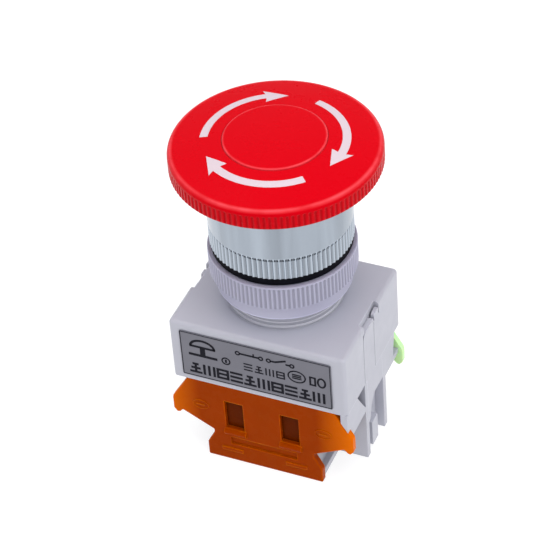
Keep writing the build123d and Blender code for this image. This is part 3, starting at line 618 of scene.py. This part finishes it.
def make_cap():
    """The mushroom: ribbed rim, dome, well for the plug, hub and ribs underneath."""
    rim = Flutes(RIM_FLUTES, CAP_R, RIM_FLUTE_R, RIM_FLUTE_DEPTH, RIM_LOW - 0.5, RIM_BEND_Z - 0.35)
    inner_rim_r = CAP_R - 1.7
    screw_hole_r, floor_t = 2.6, 2.0
    floor_z = CEILING_Z + 0.2
    bend_x = CAP_R - RIM_BEND_R
    bend_end, bend_step = 79, 9  # degrees up from level, until it meets the dome
    bend = [
        (bend_x + RIM_BEND_R * cos(radians(a)), RIM_BEND_Z + RIM_BEND_R * sin(radians(a)), 0)
        for a in range(0, bend_end, bend_step)
    ]
    corners = [
        (PLUG_R, PLUG_FLOOR, 0),
        (PLUG_R, dome_z(PLUG_R), 0.12),
        *dome_points(PLUG_R + 0.5, bend_x - 0.1, 8),
        *reversed(bend),
        (CAP_R, RIM_LOW, 0.4),
        (inner_rim_r, RIM_LOW, 0.3),
        (inner_rim_r, CEILING_Z, 0.8),
        (HUB_R, CEILING_Z, 0.4),
        (HUB_R, HUB_LOW, 0.3),
        (HUB_BORE, HUB_LOW, 0.3),
        (HUB_BORE, floor_z - floor_t, 0.3),
        (screw_hole_r, floor_z - floor_t, 0),
        (screw_hole_r, floor_z, 0),
        (WELL_R, floor_z, 0.2),
        (WELL_R, PLUG_FLOOR, 0.1),
    ]
    bm = lathe(split_heights(rounded(corners, 3), rim.heights()), rim.angles(), rim)
    ribs, half_t, depth = 8, 0.6, 0.7
    reach = (HUB_R - 0.2, inner_rim_r + 0.2)
    for number in range(ribs):
        add_box(bm, reach, (-half_t, half_t), (CEILING_Z - depth, CEILING_Z + 0.1), 2 * pi * number / ribs)
    add_piece("cap_shell", bm, "red_cap", "cap", ["mushroom_cap"])


def make_plug():
    """The raised centre plug, with a rounded edge and its clip skirt."""
    step = plug_high.z - DOME_TOP
    edge_r = PLUG_R - 0.02
    clip_in, clip_out = WELL_R - 1.0, WELL_R - 0.05
    corners = [
        (0, PLUG_FLOOR, 0),
        (clip_in, PLUG_FLOOR, 0),
        (clip_in, plug_low.z, 0),
        (clip_out, plug_low.z, 0.2),
        (clip_out, PLUG_FLOOR, 0),
        (edge_r, PLUG_FLOOR, 0),
        (edge_r, dome_z(edge_r, step), 0.35),
        *reversed(dome_points(0, PLUG_R - 0.9, 12, step)),
    ]
    add_piece("plug_disc", lathe(rounded(corners), even_angles(240)), "red_cap", "cap", ["centre_plug"])


# --- Bezel, gasket, nut ---------------------------------------------------------------------------------


def make_bezel():
    """The silver ring, with a fluted band above the gasket."""
    flutes = Flutes(BEZEL_FLUTES, BEZEL_R, BEZEL_FLUTE_R, BEZEL_FLUTE_DEPTH, bezel_low.z - 0.5,
                    BEZEL_BAND_TOP - BEZEL_FLUTE_R, 0.5)
    opening_r, seal_z, neck_z = HUB_R + 0.5, bezel_high.z - 1.8, bezel_high.z - 4.4
    corners = [
        (NECK_R, bezel_low.z, 0.1),
        (BEZEL_R, bezel_low.z, 0.15),
        (BEZEL_R, bezel_high.z, 0.6),
        (opening_r, bezel_high.z, 0.3),
        (opening_r, seal_z, 0.1),
        (SEAL_R, seal_z, 0.1),
        (SEAL_R, neck_z, 0.1),
        (NECK_R, neck_z, 0.1),
    ]
    bm = lathe(split_heights(rounded(corners), flutes.heights()), flutes.angles(), flutes)
    add_piece("bezel", bm, "bezel_plating", "housing", ["bezel_ring"])


def make_gasket():
    corners = [
        (NECK_R, gasket_low.z, 0.1),
        (GASKET_R, gasket_low.z, 0.5),
        (GASKET_R, gasket_high.z, 0.15),
        (NECK_R, gasket_high.z, 0.1),
    ]
    bm = lathe(rounded(corners, 8), even_angles(240))
    add_piece("gasket", bm, "gasket_rubber", "housing", ["panel_gasket"])


def make_nut():
    """The ribbed panel nut: rounded shoulder, fluted band and a plain skirt below it."""
    flutes = Flutes(NUT_FLUTES, NUT_R, NUT_FLUTE_R, NUT_FLUTE_DEPTH, NUT_BAND_LOW - 0.2,
                    nut_high.z - NUT_EDGE - NUT_FLUTE_R)
    washer_r, washer_z = 12.7, nut_high.z - 0.45
    corners = [
        (NECK_R, nut_low.z, 0.1),
        (NUT_SKIRT_R, nut_low.z, 0.35),
        (NUT_SKIRT_R, NUT_BAND_LOW, 0.1),
        (NUT_R, NUT_BAND_LOW, NUT_EDGE),
        (NUT_R, nut_high.z, NUT_EDGE),
        (washer_r, nut_high.z, 0.1),
        (washer_r, washer_z, 0),
        (NECK_R, washer_z, 0.1),
    ]
    bm = lathe(split_heights(rounded(corners, 5), flutes.heights()), flutes.angles(), flutes)
    add_piece("ribbed_nut", bm, "nut_plastic", "nut", ["panel_nut"])


# --- Springs --------------------------------------------------------------------------------------------


def spring_mesh(mean_r, wire_r, low, high, turns, y=0.0):
    """A coil spring with a closed turn at each end, wire included between its two heights."""
    closed = 1.0  # turns at each end that lie flat on the next
    per_turn, around = 40, 10
    total = turns + 2 * closed
    rise = (high - low - 2 * wire_r - 2 * closed * 2 * wire_r) / turns
    steps = int(total * per_turn)

    def place(turn):
        z = low + wire_r + 2 * wire_r * min(turn, closed)
        z += rise * min(max(turn - closed, 0.0), turns) + 2 * wire_r * max(turn - closed - turns, 0.0)
        angle = 2 * pi * turn
        return Vector((mean_r * cos(angle), y + mean_r * sin(angle), z))

    bm = bmesh.new()
    rings = []
    for step in range(steps + 1):
        turn = total * step / steps
        along = (place(turn + 0.01) - place(turn - 0.01)).normalized()
        outward = (place(turn) - Vector((0, y, place(turn).z))).normalized()
        across = along.cross(outward)
        ring = []
        for number in range(around):
            angle = 2 * pi * number / around
            offset = wire_r * (cos(angle) * outward + sin(angle) * across)
            ring.append(bm.verts.new((place(turn) + offset) * MM))
        rings.append(ring)
    bridge(bm, rings, rings[1:])
    bm.faces.new(rings[0])
    bm.faces.new(rings[-1])
    return bm


def make_springs():
    """The springs that shorten at a joint, and the two that keep their length."""
    low, high = (corner.z for corner in mm_box("return_spring"))
    bm = spring_mesh(mean_r=5.2, wire_r=0.4, low=low, high=high, turns=6)
    spring = add_piece("return_coil", bm, "spring_steel", "housing", ["return_spring"])
    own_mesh(spring)

    contact_mean_r, contact_wire_r = 1.3, 0.2
    box_low, box_high = mm_box("no_contact_spring")
    y = (box_low.y + box_high.y) / 2
    bm = spring_mesh(contact_mean_r, contact_wire_r, box_low.z, box_high.z, 5, y)
    spring = add_piece("open_contact_coil", bm, "spring_steel", "open_bridge", ["no_contact_spring"])
    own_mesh(spring)

    box_low, box_high = mm_box("nc_contact_spring")
    y = (box_low.y + box_high.y) / 2
    bm = spring_mesh(contact_mean_r, contact_wire_r, box_low.z, box_high.z, 4, y)
    add_piece("closed_contact_coil", bm, "spring_steel", "plunger", ["nc_contact_spring"])

    low, high = (corner.z for corner in mm_box("torsion_spring"))
    bm = spring_mesh(mean_r=3.6, wire_r=0.35, low=low, high=high, turns=9)
    add_piece("twist_coil", bm, "spring_steel", "plunger", ["torsion_spring"])


# --- Print on the label ---------------------------------------------------------------------------------

STROKE = 0.52  # widths of the strokes, from the widest
MEDIUM, MEDIUM_THIN, THIN = 0.42, 0.39, 0.3
PRINT_T = 0.03


class Print:
    """Flat marks on the label's face, in millimetres across and up."""

    def __init__(self):
        self.bm = bmesh.new()
        self.face_y = label_low.y
        self.near_y = label_low.y - PRINT_T

    def outline(self, points):
        """A filled shape from its corners."""
        near = [self.bm.verts.new((x * MM, self.near_y * MM, z * MM)) for x, z in points]
        far = [self.bm.verts.new((x * MM, self.face_y * MM, z * MM)) for x, z in points]
        self.bm.faces.new(near)
        self.bm.faces.new(list(reversed(far)))
        for index in range(len(points)):
            after = (index + 1) % len(points)
            self.bm.faces.new((near[index], near[after], far[after], far[index]))

    def bar(self, x0, x1, z0, z1):
        self.outline([(x0, z0), (x1, z0), (x1, z1), (x0, z1)])

    def line(self, x0, z0, x1, z1, width=STROKE):
        """A straight stroke between two points."""
        along = Vector((x1 - x0, z1 - z0)).normalized()
        side = Vector((-along.y, along.x)) * width / 2
        ends = (Vector((x0, z0)), Vector((x1, z1)))
        corners = (ends[0] + side, ends[0] - side, ends[1] - side, ends[1] + side)
        self.outline([(corner.x, corner.y) for corner in corners])

    def arc(self, x, z, wide, high, width=STROKE, start=0, end=360):
        """A curved stroke along part of an ellipse, as short straight-sided pieces."""
        count = ceil((end - start) / 12)
        step = (end - start) / count

        def at(angle, grow):
            a = radians(angle)
            return (x + (wide + grow) * cos(a), z + (high + grow) * sin(a))

        for number in range(count):
            a, b = start + step * number, start + step * (number + 1)
            half = width / 2
            self.outline([at(a, -half), at(b, -half), at(b, half), at(a, half)])

    def frame(self, x0, x1, z0, z1, width=STROKE):
        self.bar(x0, x1, z0, z0 + width)
        self.bar(x0, x1, z1 - width, z1)
        self.bar(x0, x0 + width, z0 + width, z1 - width)
        self.bar(x1 - width, x1, z0 + width, z1 - width)


def striped(ink, x0, x1, z0, z1, width):
    """Three level bars."""
    for share in (0, 0.5, 1):
        z = z0 + (z1 - z0 - width) * share
        ink.bar(x0, x1, z, z + width)


def barred(ink, x0, x1, z0, z1, width):
    """Three upright bars."""
    for share in (0, 0.5, 1):
        x = x0 + (x1 - x0 - width) * share
        ink.bar(x, x + width, z0, z1)


def windowed(ink, x0, x1, z0, z1, width):
    """A square with a bar across its middle."""
    ink.frame(x0, x1, z0, z1, width)
    middle = (z0 + z1 - width) / 2
    ink.bar(x0 + width, x1 - width, middle, middle + width)


def stepped(ink, x0, x1, z0, z1, width):
    """Level bars that get shorter upwards, on an upright one."""
    middle = (x0 + x1 - width) / 2
    ink.bar(middle, middle + width, z0, z1)
    for share, reach in ((0, 1.0), (0.5, 0.75), (1, 0.5)):
        z = z0 + (z1 - z0 - width) * share
        half = (x1 - x0) / 2 * reach
        ink.bar((x0 + x1) / 2 - half, middle, z, z + width)
        ink.bar(middle + width, (x0 + x1) / 2 + half, z, z + width)


BLOCKS = (stepped, striped, windowed, barred)


def block_row(ink, x0, x1, z0, z1, count, width, first=0):
    """A row of square marks in turn."""
    size = z1 - z0
    gap = (x1 - x0 - count * size) / (count - 1)
    for number in range(count):
        left = x0 + number * (size + gap)
        BLOCKS[(first + number * 3) % len(BLOCKS)](ink, left, left + size, z0, z1, width)


def button_sign(ink, x, z):
    """A mushroom button from the side: dome, its straight lower edge, stem and panel."""
    head_z, panel_top, panel_low = z + 0.4, z - 1.5, z - 2.1
    ink.arc(x, head_z, 2.5, 1.7, STROKE, 0, 180)
    ink.line(x - 2.7, head_z, x + 2.7, head_z)
    ink.bar(x - 0.55, x + 0.55, panel_top, z + 0.2)
    ink.bar(x - 3.0, x + 3.0, panel_low, panel_top)


def barred_ring(ink, x, z):
    """A small ring round a short upright bar."""
    ink.arc(x, z, 0.8, 0.8, THIN)
    ink.bar(x - 0.2, x + 0.2, z - 0.4, z + 0.4)


def contact_sign(ink, x, z, lift=0.0):
    """A switch contact between two terminals: open by the lift, or closed on a stop with none."""
    terminal_r, inner_x = 0.4, 1.1
    for side in (-1, 1):
        ink.arc(x + side * 2.4, z, terminal_r, terminal_r, THIN)
        ink.line(x + side * 2.0, z, x + side * inner_x, z, MEDIUM)
    ink.line(x - inner_x, z, x + 1.2, z + lift, MEDIUM)
    if not lift:
        ink.line(x + 0.9, z - 0.1, x + 0.9, z + 0.7, THIN)


def striped_oval(ink, x, z):
    """An oval ring round three level bars."""
    ink.arc(x, z, 1.75, 1.4, THIN)
    striped(ink, x - 0.95, x + 0.95, z - 0.6, z + 0.6, THIN)


def make_print():
    """Border, signs and rows of plain marks. None of it is lettering."""
    ink = Print()
    inset, border = 0.12, 0.16
    ink.frame(label_low.x + inset, label_high.x - inset, label_low.z + inset, label_high.z - inset, border)
    button_sign(ink, -11.2, -18.3)
    barred_ring(ink, -6.4, -19.9)
    contact_sign(ink, -1.4, -17.0)
    contact_sign(ink, 5.0, -17.0, lift=0.9)
    block_row(ink, -2.7, 5.8, -21.0, -19.2, 4, THIN, 1)
    striped_oval(ink, 8.25, -19.5)
    ink.frame(10.8, 12.2, -20.8, -18.5, MEDIUM_THIN)
    ink.arc(13.3, -19.6, 0.75, 1.1, MEDIUM_THIN)
    block_row(ink, -14.3, 13.9, -24.9, -22.3, 10, STROKE)
    add_piece("label_print", ink.bm, "label_foil", "housing", material=printed_ink())


# --- Raised rings on the covers -------------------------------------------------------------------------


def make_cover_marks():
    """A low oval ring with a bar in it, moulded on each wing of both covers."""
    ring_x, ring_z, wide, high = 12.9, -33.5, 1.7, 1.1
    wire, around, along = 0.16, 8, 40
    sunk, bar_half_w, bar_half_h, bar_half_t = 0.05, 0.9, 0.15, 0.1
    for name, slot, y, way in (
        ("orange_marks", "orange_cover", FRONT_Y, 1),
        ("green_marks", "green_cover", BACK_Y, -1),
    ):
        bm = bmesh.new()
        for side in (-1, 1):
            rings = []
            for step in range(along):
                a = 2 * pi * step / along
                outward = Vector((cos(a), 0, sin(a)))
                centre = Vector((side * ring_x + wide * cos(a), y + way * sunk, ring_z + high * sin(a)))
                ring = []
                for number in range(around):
                    b = 2 * pi * number / around
                    offset = wire * (cos(b) * outward + sin(b) * Vector((0, 1, 0)))
                    ring.append(bm.verts.new((centre + offset) * MM))
                rings.append(ring)
            bridge(bm, rings, rings[1:] + rings[:1])
            x = side * ring_x
            add_box(bm, (x - bar_half_w, x + bar_half_w), (y - bar_half_t, y + bar_half_t),
                    (ring_z - bar_half_h, ring_z + bar_half_h))
        add_piece(name, bm, slot, "housing")


def make_panes():
    """Sheets in a dimmer copy of each cover's plastic, sunk behind its thin panes: painted shade for the dim
    chamber that shows through them.
    """
    pane_x, pane_z, wide, high = 5.85, -34.7, 3.9, 7.2
    sunk, edge = 0.9, 0.05
    for name, color, slot, y, way in (
        ("orange_panes", ORANGE, "orange_cover", FRONT_Y, 1),
        ("green_panes", GREEN, "green_cover", BACK_Y, -1),
    ):
        # painted shade: the cover's colour dimmed for the chamber behind the panes
        pane_shade = shade(color, 0.36)
        bm = bmesh.new()
        for side in (-1, 1):
            x = side * pane_x
            face_y = y + way * sunk
            half_w, half_h = wide / 2 - edge, high / 2 - edge
            add_box(bm, (x - half_w, x + half_w), (face_y - edge, face_y + edge),
                    (pane_z - half_h, pane_z + half_h))
        add_piece(name, bm, slot, "housing", material=clear_plastic(name, pane_shade, shade(pane_shade, 0.7), pane_shade))


# --- Floor and light ------------------------------------------------------------------------------------

LIGHT_DISTANCE = 0.6  # metres


def make_floor():
    """A pale sheet under the feet, with some light of its own so that its colour is even."""
    reach = 3.0  # metres
    z = REST_Z * MM
    mesh = bpy.data.meshes.new("floor")
    corners = [(x * reach, y * reach, z) for x, y in ((-1, -1), (1, -1), (1, 1), (-1, 1))]
    mesh.from_pydata(corners, [], [(0, 1, 2, 3)])
    floor = bpy.data.objects.new("floor", mesh)
    scene.collection.objects.link(floor)
    finish = Finish("floor", (0.35, 0.35, 0.355), 0.7, Specular_IOR_Level=0.1,
                    Emission_Color=(1, 1, 1, 1), Emission_Strength=0.75)
    mesh.materials.append(finish.material)


def area_light(name, power, size, azimuth, elevation):
    """A square soft box that faces the button. Power is in watts, size in metres."""
    data = bpy.data.lights.new(name, "AREA")
    data.energy = power
    data.size = size
    lamp = bpy.data.objects.new(name, data)
    scene.collection.objects.link(lamp)
    towards = direction(azimuth, elevation)
    lamp.location = CAMERA_AIM * MM + towards * LIGHT_DISTANCE
    lamp.rotation_mode = "QUATERNION"
    lamp.rotation_quaternion = towards.to_track_quat("Z", "Y")


def make_world():
    """A bright horizon that runs on from the floor, dim walls above it and a brighter ceiling."""
    world = bpy.data.worlds.new("world")
    scene.world = world
    world.use_nodes = True
    tree = world.node_tree
    background = tree.nodes["Background"]
    parts = tree.nodes.new("ShaderNodeSeparateXYZ")
    ramp = tree.nodes.new("ShaderNodeValToRGB")
    tree.links.new(tree.nodes.new("ShaderNodeTexCoord").outputs["Generated"], parts.inputs["Vector"])
    tree.links.new(parts.outputs["Z"], ramp.inputs["Fac"])
    tree.links.new(ramp.outputs["Color"], background.inputs["Color"])
    stops = ((0.0, 1.0), (0.10, 0.95), (0.18, 0.12), (0.45, 0.42), (0.75, 0.68))
    while len(ramp.color_ramp.elements) < len(stops):
        ramp.color_ramp.elements.new(0.5)
    for element, (place, value) in zip(ramp.color_ramp.elements, stops):
        element.position = place
        element.color = (value, value, value * 1.03, 1)


def make_lights():
    area_light("key", 0.9, 0.45, azimuth=80, elevation=45)
    area_light("top", 1.95, 0.5, azimuth=20, elevation=76)
    area_light("back", 0.46, 0.4, azimuth=-110, elevation=70)


make_camera()
paint_nodes()
make_cap()
make_plug()
make_bezel()
make_gasket()
make_nut()
make_springs()
make_print()
make_cover_marks()
make_panes()
make_floor()
make_world()
make_lights()
scene.view_settings.view_transform = "Standard"
